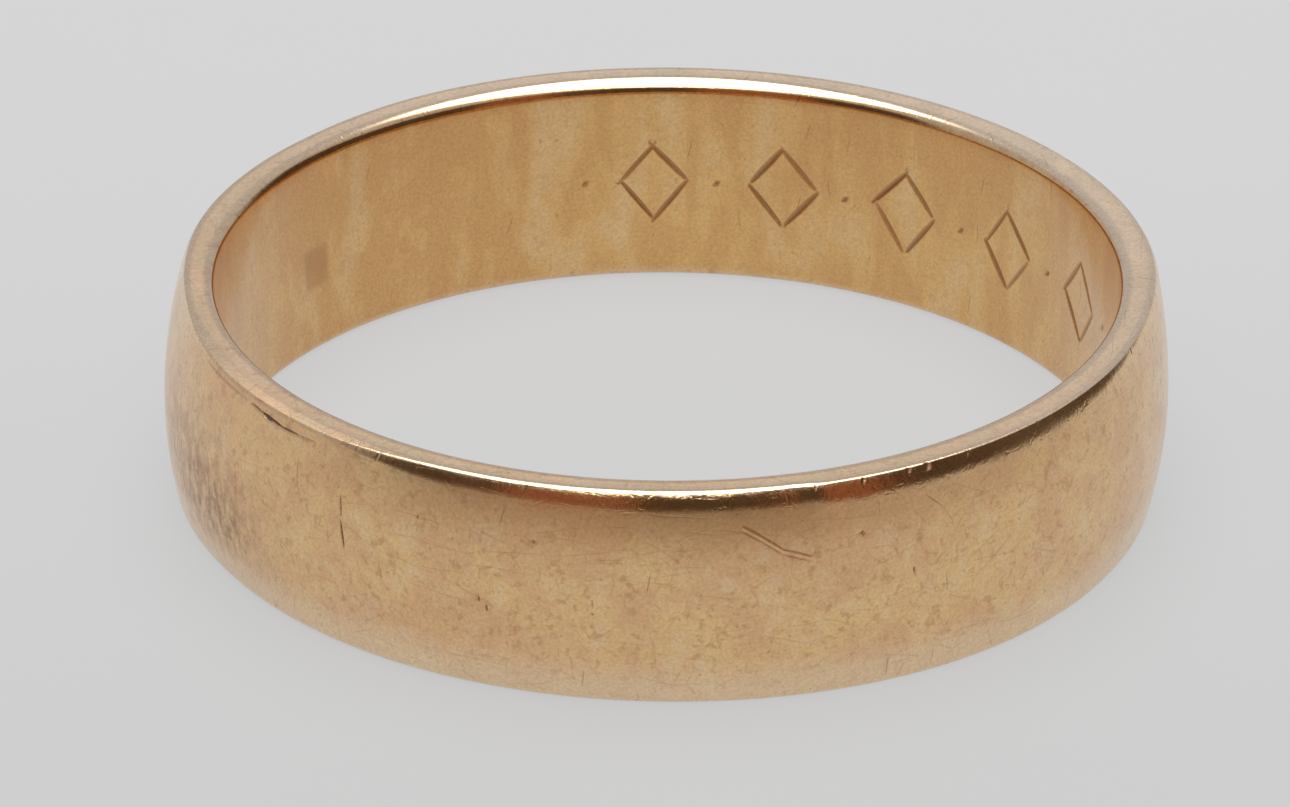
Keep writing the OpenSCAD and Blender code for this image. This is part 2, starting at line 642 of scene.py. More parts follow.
    def knocks(self) -> list[Stroke]:
        """Fine knocks just under the upper edge in front, most of them past the joint."""
        chance = np.random.default_rng(self.seed + 2)
        found = []
        for _ in range(self.knock_count):
            angle = self.knocks_from - self.knocks_over * chance.uniform(0.0, 1.0) ** self.knock_crowding
            height = self.half_width - chance.uniform(*self.knock_reach)
            lean = chance.uniform(0.0, math.pi)
            length = chance.uniform(*self.knock_length)
            along = math.degrees(length * math.cos(lean) / self.radius)
            head = (angle + along, height + length * math.sin(lean))
            width = chance.uniform(*self.knock_width)
            depth = width * chance.uniform(*self.knock_depth)
            found.append(Stroke((angle, height), head, width, depth, width * self.knock_lip))
        return found


@dataclass
class StripMesh:
    """Builds a stretch of the strip as a closed mesh, finer where something is cut in it.

    Runs count round the section, where each Zone is one unit long. The swells say where round the band the
    metal changes its colour, part of it painted light and shade, where it loses its polish, and how much.
    """

    section: DSection
    name: str
    first: float
    last: float
    steps: int
    bore_cuts: list[Stroke] = field(default_factory=list)
    face_cuts: list[Stroke] = field(default_factory=list)
    punch: PunchMark | None = None
    finer: int = 3
    first_reach: float = 0.1
    punch_worn: float = 0.5
    ripple_depth: float = 0.0022
    bore_ripple: float = 0.4
    full_groove: float = 0.03
    tarnish_patch: Swell = Swell(201.0, 11.0, 0.85)
    tarnish_heart: Swell = Swell(208.0, 4.5, 1.1)
    # Painted shade: how much the face under the upper edge in front is painted browner.
    painted_shade_under_edge: Swell = Swell(276.0, 30.0, 0.75)
    brown_in_bore: tuple[Swell, ...] = (
        Swell(126.0, 14.0),
        Swell(147.0, 5.0, 0.8),
        Swell(172.0, 7.0, 0.7),
        Swell(71.0, 6.0, 0.4),
    )
    # Partly the flat edge's own paler tone and partly a painted highlight round the back of the rim.
    pale_sides: tuple[Swell, ...] = (Swell(30.0, 45.0, 0.65), Swell(110.0, 30.0, 0.4))
    pale_in_bore: tuple[Swell, ...] = (Swell(157.0, 5.0, 0.6), Swell(18.0, 10.0, 0.6))
    unpolished: tuple[Swell, ...] = (Swell(216.0, 14.0, 0.95), Swell(319.0, 9.0, 0.45))
    unpolished_behind: Swell = Swell(25.0, 25.0, 0.7)

    STATIONS: ClassVar[dict[Zone, int]] = {
        Zone.LOWER_SIDE_IN: 2,
        Zone.LOWER_INNER_CORNER: 4,
        Zone.BORE: 18,
        Zone.UPPER_INNER_CORNER: 6,
        Zone.UPPER_SIDE: 4,
        Zone.UPPER_RIM: 4,
        Zone.UPPER_FACET: 1,
        Zone.UPPER_BEND: 4,
        Zone.UPPER_SHOULDER: 4,
        Zone.UPPER_DOME: 12,
        Zone.LOWER_DOME: 12,
        Zone.LOWER_SHOULDER: 3,
        Zone.LOWER_RIM: 6,
        Zone.LOWER_SIDE_OUT: 2,
    }

    def runs(self) -> np.ndarray:
        """Stations round the section, closest together at its corners."""
        stops = [
            zone.value + step / count for zone, count in self.STATIONS.items() for step in range(count)
        ]
        return np.array(stops)

    def marked(self, angle: np.ndarray, run: np.ndarray) -> tuple[np.ndarray, np.ndarray, np.ndarray]:
        """Places on the surface with its cuts, scratches and ripples.

        Args:
            angle: angles round the band, in degrees.
            run: places round the section.

        Returns:
            Distance from the axis, height, and how deep the surface is cut, in millimetres.
        """
        rho, z = self.section.points(angle, run)
        on_bore = (run >= Zone.BORE.value) & (run < Zone.UPPER_INNER_CORNER.value)
        on_face = (run >= Zone.UPPER_RIM.value) & (run < Zone.LOWER_SIDE_OUT.value)
        cut = np.zeros_like(rho)
        bore_radius, crown = self.section.bore_radius, self.section.crown_radius
        for stroke in self.bore_cuts:
            sunk = stroke.sink(angle[on_bore], z[on_bore], bore_radius)
            deepest = np.where(np.abs(cut[on_bore]) > np.abs(sunk), cut[on_bore], sunk)
            cut[on_bore] = deepest
        if self.punch is not None:
            # Half of the mark's depth counts as cut, which shades it less than the sharp engraving.
            sunk = self.punch_worn * self.punch.sink(angle[on_bore], z[on_bore], bore_radius)
            rho[on_bore] += sunk
            cut[on_bore] += sunk
        for stroke in self.face_cuts:
            cut[on_face] += stroke.sink(angle[on_face], z[on_face], crown)
        rho = np.where(on_bore, rho + cut, rho)
        rho = np.where(on_face, rho - cut, rho)
        ripple = self.ripple(angle, z)
        rho = np.where(on_face, rho - ripple, rho)
        rho = np.where(on_bore, rho + self.bore_ripple * ripple, rho)
        return rho, z, cut

    def ripple(self, angle: np.ndarray, z: np.ndarray) -> np.ndarray:
        """Slight unevenness of a face filed and polished by hand.

        Args:
            angle: angles round the band, in degrees.
            z: heights.

        Returns:
            How far the face is sunk at each place, in millimetres, never below zero.
        """
        turn = np.radians(angle)
        waves = (
            np.sin(7 * turn + 1.3 * z)
            + 0.7 * np.sin(17 * turn - 0.9 * z + 1.0)
            + 0.4 * np.sin(31 * turn + 2.1 * z + 2.0)
            + 0.25 * np.sin(67 * turn - 3.0 * z)
        )
        # 2.35 is the sum of the four waves' heights.
        return self.ripple_depth * (2.35 + waves)

    def near_cut(self, angle: np.ndarray, run: np.ndarray, reach: float) -> np.ndarray:
        """Which places are close to something cut in the surface.

        Args:
            angle: angles round the band, in degrees.
            run: places round the section.
            reach: how close counts, in millimetres.

        Returns:
            True for each place that is close.
        """
        _, z = self.section.points(angle, run)
        on_bore = (run > Zone.BORE.value) & (run < Zone.UPPER_INNER_CORNER.value)
        on_face = (run > Zone.UPPER_RIM.value) & (run < Zone.LOWER_SIDE_OUT.value)
        close = np.zeros(len(run), bool)
        for cuts, here, radius in (
            (self.bore_cuts, on_bore, self.section.bore_radius),
            (self.face_cuts, on_face, self.section.crown_radius),
        ):
            for stroke in cuts:
                # A stroke of unit depth that is wider by the reach covers what is near this one.
                wide = Stroke(stroke.tail, stroke.head, 2 * reach + 2.2 * stroke.width, 1.0)
                close[here] |= wide.sink(angle[here], z[here], radius) > 0.08
        return close

    def skin(self, mesh: bmesh.types.BMesh, turn: object, place: object) -> int:
        """Lays the strip's unmarked skin, with a cap on each end.

        Args:
            mesh: the empty mesh.
            turn: the layer for each point's angle.
            place: the layer for each point's run.

        Returns:
            How many points go once round the section.
        """
        runs = self.runs()
        count = len(runs)
        rings = []
        for angle in np.linspace(self.first, self.last, self.steps + 1):
            ring = []
            across, along = math.cos(math.radians(angle)), math.sin(math.radians(angle))
            rho, z = self.section.points(np.full(count, angle), runs)
            for r, height, run in zip(rho, z, runs, strict=True):
                vert = mesh.verts.new((r * across, r * along, height))
                vert[turn] = angle
                vert[place] = run
                ring.append(vert)
            rings.append(ring)
        for here, following in zip(rings, rings[1:], strict=False):
            for i in range(count):
                j = (i + 1) % count
                mesh.faces.new((here[i], here[j], following[j], following[i]))
        for cap in (mesh.faces.new(rings[0][::-1]), mesh.faces.new(rings[-1])):
            for edge in cap.edges:
                edge.smooth = False
        return count

    def build(self) -> bpy.types.Object:
        """Makes the mesh object.

        Returns:
            The new object, with the attributes that its finish reads.
        """
        mesh = bmesh.new()
        turn = mesh.verts.layers.float.new("turn")
        place = mesh.verts.layers.float.new("place")
        count = self.skin(mesh, turn, place)
        self.refine(mesh, turn, place)
        self.shape(mesh, turn, place)
        bmesh.ops.triangulate(mesh, faces=[f for f in mesh.faces if 4 < len(f.verts) < count])
        bmesh.ops.recalc_face_normals(mesh, faces=mesh.faces)
        data = bpy.data.meshes.new(self.name)
        mesh.to_mesh(data)
        mesh.free()
        data.polygons.foreach_set("use_smooth", [True] * len(data.polygons))
        thing = bpy.data.objects.new(self.name, data)
        bpy.context.scene.collection.objects.link(thing)
        self.note_surface(data)
        return thing

    def refine(self, mesh: bmesh.types.BMesh, turn: object, place: object) -> None:
        """Halves the faces near each cut, as many times as finer says.

        Args:
            mesh: the strip so far.
            turn: the layer with each point's angle.
            place: the layer with each point's run.
        """
        for level in range(self.finer):
            mesh.faces.ensure_lookup_table()
            middles = np.array(
                [
                    (
                        sum(v[turn] for v in f.verts) / len(f.verts),
                        sum(v[place] for v in f.verts) / len(f.verts),
                        max(v[place] for v in f.verts) - min(v[place] for v in f.verts),
                    )
                    for f in mesh.faces
                ]
            )
            reach = self.first_reach / 2**level
            close = self.near_cut(middles[:, 0], middles[:, 1], reach) & (middles[:, 2] < 1.0)
            edges = {e for f, hit in zip(mesh.faces, close, strict=True) if hit for e in f.edges}
            if edges:
                bmesh.ops.subdivide_edges(mesh, edges=list(edges), cuts=1, use_grid_fill=True)

    def shape(self, mesh: bmesh.types.BMesh, turn: object, place: object) -> None:
        """Moves every point to its place on the marked surface.

        Args:
            mesh: the strip so far.
            turn: the layer with each point's angle.
            place: the layer with each point's run.
        """
        angle = np.array([v[turn] for v in mesh.verts])
        run = np.array([v[place] for v in mesh.verts])
        rho, z, _ = self.marked(angle, run)
        x, y = rho * np.cos(np.radians(angle)), rho * np.sin(np.radians(angle))
        for vert, co in zip(mesh.verts, np.stack([x, y, z], axis=1) * MM, strict=True):
            vert.co = co

    def stain(self, angle: np.ndarray, run: np.ndarray) -> np.ndarray:
        """Where the brown tarnish sits: in a patch on one side.

        Args:
            angle: angles round the band, in degrees.
            run: places round the section.

        Returns:
            How much tarnish there is at each place, from 0 to 1.
        """
        _, z = self.section.points(angle, run)
        on_face = Stretch(
            (Zone.UPPER_BEND.value, Zone.UPPER_SHOULDER.value),
            (Zone.LOWER_RIM.value, Zone.LOWER_SIDE_OUT.value),
        ).at(run)
        patch = self.tarnish_patch.at(angle) * bell(z + 0.35, 0.95)
        heart = self.tarnish_heart.at(angle) * bell(z + 0.85, 0.35)
        return np.clip(patch + heart, 0.0, 1.0) * on_face

    def browned_and_shaded(self, angle: np.ndarray, run: np.ndarray) -> np.ndarray:
        """Where the colour is a duller brown: under the upper edge in front, and in four bands of the bore.

        Under the edge the brown is painted shade that deepens the dark reflection there; in the bore it is
        tone.

        Args:
            angle: angles round the band, in degrees.
            run: places round the section.

        Returns:
            How brown each place is, from 0 to 1.
        """
        _, z = self.section.points(angle, run)
        on_face = (run > Zone.UPPER_FACET.value) & (run < Zone.LOWER_RIM.value)
        on_bore = (run >= Zone.BORE.value) & (run <= Zone.UPPER_INNER_CORNER.value)
        # Painted shade: the face just under the upper edge in front is painted a darker brown.
        under_edge = self.painted_shade_under_edge.at(angle) * bell(z - 1.75, 0.38)
        bands = sum(band.at(angle) for band in self.brown_in_bore)
        return under_edge * on_face + bands * on_bore

    def pale_and_lit(self, angle: np.ndarray, run: np.ndarray) -> np.ndarray:
        """Where the metal is painted pale: down the dome, on the flat edge and in two bands of the bore.

        Down the dome the pale is a painted reflection of the bright table. On the flat edge it is partly the
        metal's own tone and partly a painted highlight round the back. In the bore it is pale streaks of tone.

        Args:
            angle: angles round the band, in degrees.
            run: places round the section.

        Returns:
            How pale each place is, from 0 to 1.
        """
        _, z = self.section.points(angle, run)
        on_face = Stretch(
            (Zone.UPPER_SHOULDER.value, Zone.UPPER_DOME.value),
            (Zone.LOWER_RIM.value, Zone.LOWER_SIDE_OUT.value),
        ).at(run)
        on_side = (run > Zone.UPPER_INNER_CORNER.value + 0.5) & (run < Zone.UPPER_SHOULDER.value)
        on_bore = (run >= Zone.BORE.value) & (run <= Zone.UPPER_INNER_CORNER.value)
        # Painted light: the lower dome is painted paler, a painted reflection of the bright table under it.
        down = 0.75 * ramp(-z, 1.1, 2.1) * on_face
        # On the flat edge: partly its own paler tone, partly a painted highlight round the back.
        sides = 0.35 + sum(side.at(angle) for side in self.pale_sides)
        bands = sum(band.at(angle) for band in self.pale_in_bore)
        return down + sides * on_side + bands * on_bore

    def polished(self, angle: np.ndarray, run: np.ndarray) -> tuple[np.ndarray, np.ndarray]:
        """Where rubbing has polished the corners, which the face colour also paints paler as a painted sheen.

        Args:
            angle: angles round the band, in degrees.
            run: places round the section.

        Returns:
            How polished the two outer edges are, and the upper inner corner, from 0 to 1.
        """
        upper = Stretch(
            (Zone.UPPER_RIM.value - 0.3, Zone.UPPER_RIM.value),
            (Zone.UPPER_SHOULDER.value + 0.4, Zone.UPPER_DOME.value + 0.2),
        ).at(run)
        upper = upper * (1.0 - sum(left.at(angle) for left in self.unpolished))
        upper = upper * (1.0 - self.unpolished_behind.at(angle))
        lower = Stretch(
            (Zone.LOWER_SHOULDER.value - 0.15, Zone.LOWER_RIM.value),
            (Zone.LOWER_SIDE_OUT.value, Zone.LOWER_SIDE_OUT.value + 0.3),
        ).at(run)
        inner = Stretch(
            (Zone.UPPER_INNER_CORNER.value - 0.02, Zone.UPPER_INNER_CORNER.value + 0.2),
            (Zone.UPPER_SIDE.value - 0.1, Zone.UPPER_SIDE.value + 0.2),
        ).at(run)
        return np.maximum(upper, lower), inner

    def note_surface(self, data: bpy.types.Mesh) -> None:
        """Stores what the finish needs at each point: where it is on the rolled-out strip, and how it is cut.

        Args:
            data: the finished mesh, with its turn and place layers.
        """
        count = len(data.vertices)
        angle, run = np.zeros(count, np.float32), np.zeros(count, np.float32)
        data.attributes["turn"].data.foreach_get("value", angle)
        data.attributes["place"].data.foreach_get("value", run)
        angle, run = angle.astype(float), run.astype(float)
        _, _, cut = self.marked(angle, run)
        along = np.radians(angle) * self.section.crown_radius
        strip = np.stack([along, self.section.across(angle, run), np.zeros(count)], axis=1)
        bore = Stretch(
            (Zone.BORE.value - 0.5, Zone.BORE.value),
            (Zone.UPPER_INNER_CORNER.value, Zone.UPPER_INNER_CORNER.value + 0.5),
        ).at(run)
        edge, inner_edge = self.polished(angle, run)
        values = {
            "bore": bore,
            "edge": edge,
            "inner_edge": inner_edge,
            "groove": np.clip(cut / self.full_groove, 0.0, 1.0),
            "tarnish": self.stain(angle, run),
            "brown_and_shade": self.browned_and_shaded(angle, run),
            "paleness": self.pale_and_lit(angle, run),
        }
        for label, amounts in values.items():
            layer = data.attributes.new(label, "FLOAT", "POINT")
            layer.data.foreach_set("value", amounts.astype(np.float32))
        layer = data.attributes.new("strip", "FLOAT_VECTOR", "POINT")
        layer.data.foreach_set("vector", strip.astype(np.float32).ravel())
        for label in ("turn", "place"):
            data.attributes.remove(data.attributes[label])


class NodeBench:
    """Short ways to add and join shader nodes in one material."""

    def __init__(self, tree: bpy.types.NodeTree) -> None:
        """Starts with an empty tree."""
        self.tree = tree
        tree.nodes.clear()

    def add(self, kind: str, inputs: dict | None = None, **settings: object) -> bpy.types.Node:
        """Adds a node.

        Args:
            kind: the node's type name.
            inputs: values or output sockets for its inputs, by name or number.
            settings: the node's own settings.

        Returns:
            The new node.
        """
        node = self.tree.nodes.new(kind)
        for key, value in settings.items():
            setattr(node, key, value)
        for key, value in (inputs or {}).items():
            if isinstance(value, Socket):
                self.tree.links.new(value, node.inputs[key])
            else:
                node.inputs[key].default_value = value
        return node

    def sums(self, operation: str, *values: object, clamp: bool = False) -> Socket:
        """Adds a Math node and gives its result."""
        inputs = dict(enumerate(values))
        return self.add("ShaderNodeMath", inputs, operation=operation, use_clamp=clamp).outputs[0]

    def both(self, first: Socket, second: Socket) -> Socket:
        """Multiplies two masks, which leaves what is in both."""
        return self.sums("MULTIPLY", first, second)

    def square_sum(self, first: Socket, second: Socket) -> Socket:
        """Adds the squares of two values."""
        return self.sums("ADD", self.both(first, first), self.both(second, second))

    def noise(self, where: Socket, scale: float, detail: float = 3.0, rough: float = 0.55,
              warp: float = 0.0) -> Socket:
        """Adds a noise texture and gives its value, about 0.5 on average.

        Args:
            where: the place that the texture is read at.
            scale: how many features there are in a millimetre.
            detail: how many finer layers there are.
            rough: how strong the finer layers are.
            warp: how far the pattern is stirred.

        Returns:
            The texture's value.
        """
        inputs = {"Vector": where, "Scale": scale, "Detail": detail, "Roughness": rough, "Distortion": warp}
        return self.add("ShaderNodeTexNoise", inputs, noise_dimensions="3D").outputs["Fac"]

    def spread(self, value: object, low: float, high: float, to_low: float = 0.0,
               to_high: float = 1.0) -> Socket:
        """Maps a range of values to another, and holds the result inside it.

        Args:
            value: the socket to map.
            low: the value that becomes to_low.
            high: the value that becomes to_high.
            to_low: the result at the low end.
            to_high: the result at the high end.

        Returns:
            The mapped value.
        """
        inputs = {"Value": value, "From Min": low, "From Max": high, "To Min": to_low, "To Max": to_high}
        return self.add("ShaderNodeMapRange", inputs, interpolation_type="SMOOTHSTEP").outputs["Result"]

    def blend(self, amount: object, first: object, second: object, mode: str = "MIX") -> Socket:
        """Mixes two colours.

        Args:
            amount: how much of the second shows.
            first: a colour or a socket.
            second: a colour or a socket.
            mode: the way of mixing.

        Returns:
            The mixed colour.
        """
        node = self.add("ShaderNodeMix", data_type="RGBA", blend_type=mode)
        for number, value in ((0, amount), (6, first), (7, second)):
            if isinstance(value, Socket):
                self.tree.links.new(value, node.inputs[number])
            else:
                node.inputs[number].default_value = value
        return node.outputs[2]


@dataclass(frozen=True)
class Fade:
    """A soft change from one amount to another while a value goes from low to high."""

    low: float
    high: float
    at_low: float = 0.0
    at_high: float = 1.0

    def on(self, bench: NodeBench, value: Socket) -> Socket:
        """Adds the change to a material and gives its result."""
        return bench.spread(value, self.low, self.high, self.at_low, self.at_high)


def turning(low: float, high: float, at_low: float = 0.0, at_high: float = 1.0) -> Fade:
    """A Fade along an angle, with its ends given in degrees."""
    return Fade(math.radians(low), math.radians(high), at_low, at_high)


@dataclass(frozen=True)
class Hairlines:
    """One family of nearly parallel hairline scratches, a short one in each cell of a slanting grid."""

    lean: float
    across: float
    length: float
    width: float
    share: float

    def draw(self, bench: NodeBench, strip: Socket) -> Socket:
        """Adds the scratches to a material.

        Args:
            bench: the material's node bench.
            strip: where the point is on the rolled-out strip, in millimetres.

        Returns:
            1 along the middle of a scratch, 0 between them.
        """
        mapped = bench.add(
            "ShaderNodeMapping",
            {
                "Vector": strip,
                "Location": (0.31 * self.lean, 0.17 * self.lean, 0.0),
                "Rotation": (0.0, 0.0, math.radians(self.lean)),
                "Scale": (1.0 / self.length, 1.0 / self.across, 1.0),
            },
        ).outputs[0]
        parts = bench.add("ShaderNodeSeparateXYZ", {0: mapped}).outputs
        row = bench.sums("FLOOR", parts[1])
        slip = bench.add("ShaderNodeTexWhiteNoise", {"W": row}, noise_dimensions="1D").outputs["Value"]
        along = bench.sums("ADD", parts[0], slip)
        cell = bench.sums("FLOOR", along)
        where = bench.add("ShaderNodeCombineXYZ", {0: cell, 1: row, 2: self.lean}).outputs[0]
        chance = bench.add("ShaderNodeTexWhiteNoise", {"Vector": where}, noise_dimensions="3D")
        luck = bench.add("ShaderNodeSeparateXYZ", {0: chance.outputs["Color"]}).outputs
        in_cell = bench.sums("SUBTRACT", bench.sums("SUBTRACT", along, cell), 0.5)
        tilt = bench.sums("MULTIPLY", bench.sums("SUBTRACT", luck[1], 0.5), 0.9)
        middle = bench.sums("MULTIPLY_ADD", in_cell, tilt, 0.5)
        bow = bench.both(bench.both(in_cell, in_cell), bench.sums("MULTIPLY", tilt, 0.5))
        middle = bench.sums("ADD", middle, bow)
        off = bench.sums("ABSOLUTE", bench.sums("SUBTRACT", bench.sums("SUBTRACT", parts[1], row), middle))
        reach = self.width / 2 / self.across
        line = bench.spread(off, 0.3 * reach, 1.6 * reach, 1.0, 0.0)
        end = bench.spread(bench.sums("ABSOLUTE", in_cell), 0.2, 0.45, 1.0, 0.0)
        here = bench.spread(luck[2], 1.0 - self.share, 1.0)
        return bench.sums("MULTIPLY", bench.sums("MULTIPLY", line, end), here)


@dataclass(frozen=True)
class GoldReadings:
    """What a gold finish reads at each point of a piece.

    The marks are what the mesh stores, and the noises vary the colour over it. Hair is 1 in the hairline
    scratches, and stained is how much tarnish there is.
    """

    bench: NodeBench
    strip: Socket
    marks: dict[str, Socket]
    noises: dict[str, Socket]
    hair: Socket
    stained: Socket


@dataclass(frozen=True)
class WornGold:
    """Yellow gold worn to a soft shine under grease, with clouding, tarnish, specks and hairlines."""

    name: str
    face: Colour
    bore: Colour
    rosy: Colour = (0.79, 0.475, 0.245)
    dull: Colour = (0.70, 0.385, 0.145)
    pale: Colour = (0.86, 0.66, 0.42)
    # The palest colour, painted light on the lower dome and the flat edge.
    pale_and_lit: Colour = (0.95, 0.74, 0.5)
    brown: Colour = (0.62, 0.34, 0.14)
    rust: Colour = (0.55, 0.285, 0.115)
    tarnish: Colour = (0.38, 0.19, 0.08)
    grime: Colour = (0.1, 0.06, 0.035)
    satin: float = 0.33
    satin_change: float = 0.03
    polish: float = 0.15
    film: float = 0.6
    film_rough: float = 0.12
    relief: float = 0.0012
    hair_in_bore: float = 0.12
    rosy_clouds: Fade = Fade(0.40, 0.62, 0.0, 0.75)
    rosy_blotches: Fade = Fade(0.5, 0.68, 0.0, 0.55)
    pale_blotches: Fade = Fade(0.32, 0.5, 0.4, 0.0)
    rust_spots: Fade = Fade(0.53, 0.69, 0.0, 0.55)
    dull_spots: Fade = Fade(0.48, 0.7, 0.0, 0.45)
    brown_streaks: Fade = Fade(0.45, 0.62, 0.0, 0.8)
    pale_streaks: Fade = Fade(0.3, 0.5, 0.7, 0.0)
    tarnish_smears: Fade = Fade(0.36, 0.64, 0.15, 1.0)
    deep_pits: Fade = Fade(0.73, 0.79)
    grainy_shade: Fade = Fade(0.25, 0.75, 0.89, 1.08)
    dashes: Hairlines = Hairlines(lean=78.0, across=0.6, length=0.35, width=0.045, share=0.05)
    scratches: tuple[Hairlines, ...] = (
        Hairlines(lean=14.0, across=0.5, length=1.6, width=0.022, share=0.6),
        Hairlines(lean=72.0, across=0.45, length=1.1, width=0.02, share=0.55),
        Hairlines(lean=-38.0, across=0.6, length=1.9, width=0.025, share=0.5),
        Hairlines(lean=101.0, across=0.3, length=0.6, width=0.018, share=0.5),
        Hairlines(lean=-68.0, across=0.5, length=1.3, width=0.02, share=0.5),
        Hairlines(lean=-8.0, across=0.35, length=0.9, width=0.018, share=0.45),
    )

    def hairlines(self, bench: NodeBench, strip: Socket, in_bore: Socket) -> Socket:
        """Adds the fine scratches, bent a little by a slow noise and nearly gone in the bore.

        Args:
            bench: the material's node bench.
            strip: where the point is on the rolled-out strip.
            in_bore: 1 on the bore wall.

        Returns:
            1 in a scratch, 0 between them.
        """
        stir = bench.add("ShaderNodeTexNoise", {"Vector": strip, "Scale": 0.8, "Detail": 1.0}).outputs["Color"]
        stir = bench.add("ShaderNodeVectorMath", {0: stir, "Scale": 0.2}, operation="SCALE").outputs[0]
        stirred = bench.add("ShaderNodeVectorMath", {0: strip, 1: stir}, operation="ADD").outputs[0]
        hair = self.scratches[0].draw(bench, stirred)
        for family in self.scratches[1:]:
            hair = bench.sums("MAXIMUM", hair, family.draw(bench, stirred))
        return bench.sums("MULTIPLY", hair, Fade(0.0, 1.0, 1.0, self.hair_in_bore).on(bench, in_bore))

    def read(self, bench: NodeBench) -> GoldReadings:
        """Adds all that the colour, the shine and the relief read.

        Args:
            bench: the material's node bench.

        Returns:
            The readings.
        """
        labels = ("groove", "bore", "edge", "inner_edge", "tarnish", "brown_and_shade", "paleness")
        marks = {
            label: bench.add("ShaderNodeAttribute", attribute_name=label).outputs["Fac"] for label in labels
        }
        strip = bench.add("ShaderNodeAttribute", attribute_name="strip").outputs["Vector"]
        where = bench.add("ShaderNodeTexCoord").outputs["Object"]
        solid = bench.add("ShaderNodeVectorMath", {0: where, "Scale": 1.0 / MM}, operation="SCALE").outputs[0]
        noises = {
            "clouds": bench.noise(solid, scale=0.55, detail=3.0, rough=0.6, warp=0.8),
            "blotches": bench.noise(solid, scale=1.9, detail=4.0, rough=0.62, warp=0.6),
            "spots": bench.noise(solid, scale=4.6, detail=3.0, rough=0.62, warp=0.4),
            "grain": bench.noise(solid, scale=15.0, detail=2.0, rough=0.6),
            "pits": self.deep_pits.on(bench, bench.noise(solid, scale=8.0, detail=1.0, rough=0.5)),
        }
        smeared = bench.add("ShaderNodeMapping", {"Vector": strip, "Scale": (4.0, 1.9, 1.0)}).outputs[0]
        smears = bench.noise(smeared, scale=1.0, detail=4.0, rough=0.7)
        stained = bench.sums("MULTIPLY", marks["tarnish"], self.tarnish_smears.on(bench, smears))
        hair = self.hairlines(bench, strip, marks["bore"])
        return GoldReadings(bench, strip, marks, noises, hair, stained)

    def face_colour(self, seen: GoldReadings) -> Socket:
        """The colour of the domed face and the two sides, before its marks.

        Args:
            seen: the material's readings.

        Returns:
            The colour.
        """
        bench, marks, noises = seen.bench, seen.marks, seen.noises
        gold = bench.blend(self.rosy_clouds.on(bench, noises["clouds"]), (*self.face, 1.0), (*self.rosy, 1.0))
        gold = bench.blend(self.rosy_blotches.on(bench, noises["blotches"]), gold, (*self.rosy, 1.0))
        gold = bench.blend(self.pale_blotches.on(bench, noises["blotches"]), gold, (*self.pale, 1.0))
        gold = bench.blend(self.rust_spots.on(bench, noises["spots"]), gold, (*self.rust, 1.0))
        # Painted light: the outer edges are painted paler, a painted sheen on their polish.
        gold = bench.blend(bench.sums("MULTIPLY", marks["edge"], 0.35), gold, (*self.pale, 1.0))
        # Painted light: the lower dome and the flat edge are painted towards the palest colour.
        gold = bench.blend(bench.sums("MULTIPLY", marks["paleness"], 0.8), gold, (*self.pale_and_lit, 1.0))
        # Painted shade: the brown mark darkens the face under the upper edge in front.
        return bench.blend(marks["brown_and_shade"], gold, (*self.brown, 1.0))

    def bore_colour(self, seen: GoldReadings) -> Socket:
        """The colour of the bore wall, in streaks across it, before its marks.

        Args:
            seen: the material's readings.

        Returns:
            The colour.
        """
        bench, marks, noises = seen.bench, seen.marks, seen.noises
        streaky = bench.add("ShaderNodeMapping", {"Vector": seen.strip, "Scale": (1.1, 0.35, 1.0)}).outputs[0]
        streaks = bench.noise(streaky, scale=1.0, detail=2.0, rough=0.45, warp=0.4)
        warm = bench.sums("MULTIPLY", marks["brown_and_shade"], bench.spread(noises["blotches"], 0.36, 0.6, 0.25, 1.0))
        brown = bench.sums("ADD", self.brown_streaks.on(bench, streaks), warm, clamp=True)
        gold = bench.blend(bench.sums("MULTIPLY", brown, 0.8), (*self.bore, 1.0), (*self.dull, 1.0))
        light = bench.sums("MULTIPLY", marks["paleness"], bench.spread(streaks, 0.36, 0.56, 0.4, 1.0))
        light = bench.sums("ADD", self.pale_streaks.on(bench, streaks), light, clamp=True)
        gold = bench.blend(bench.sums("MULTIPLY", light, 0.4), gold, (*self.pale, 1.0))
        return bench.blend(self.dull_spots.on(bench, noises["spots"]), gold, (*self.dull, 1.0))

    def colour(self, seen: GoldReadings) -> Socket:
        """The colour with tarnish, grain, scratches, pits and the dirt that lies in cuts.

        Args:
            seen: the material's readings.

        Returns:
            The colour.
        """
        bench, marks, noises = seen.bench, seen.marks, seen.noises
        groove = marks["groove"]
        gold = bench.blend(marks["bore"], self.face_colour(seen), self.bore_colour(seen))
        gold = bench.blend(bench.sums("MULTIPLY", seen.stained, 0.95), gold, (*self.tarnish, 1.0))
        shade = self.grainy_shade.on(bench, noises["grain"])
        shades = bench.add("ShaderNodeCombineColor", {0: shade, 1: shade, 2: shade}).outputs[0]
        gold = bench.blend(1.0, gold, shades, "MULTIPLY")
        gold = bench.blend(bench.sums("MULTIPLY", seen.hair, 0.36), gold, (*self.rust, 1.0))
        dash = self.dashes.draw(bench, seen.strip)
        gold = bench.blend(bench.sums("MULTIPLY", dash, 0.7), gold, (*self.tarnish, 1.0))
        gold = bench.blend(bench.sums("MULTIPLY", noises["pits"], 0.6), gold, (*self.rust, 1.0))
        gold = bench.blend(bench.spread(groove, 0.05, 0.5, 0.0, 0.6), gold, (*self.rust, 1.0))
        # Dirt fills the deep half of a cut, and less of it stays in the bore.
        dirt = bench.spread(marks["bore"], 0.0, 1.0, 0.9, 0.3)
        dirt = bench.both(bench.spread(groove, 0.5, 1.0), dirt)
        return bench.blend(dirt, gold, (*self.grime, 1.0))

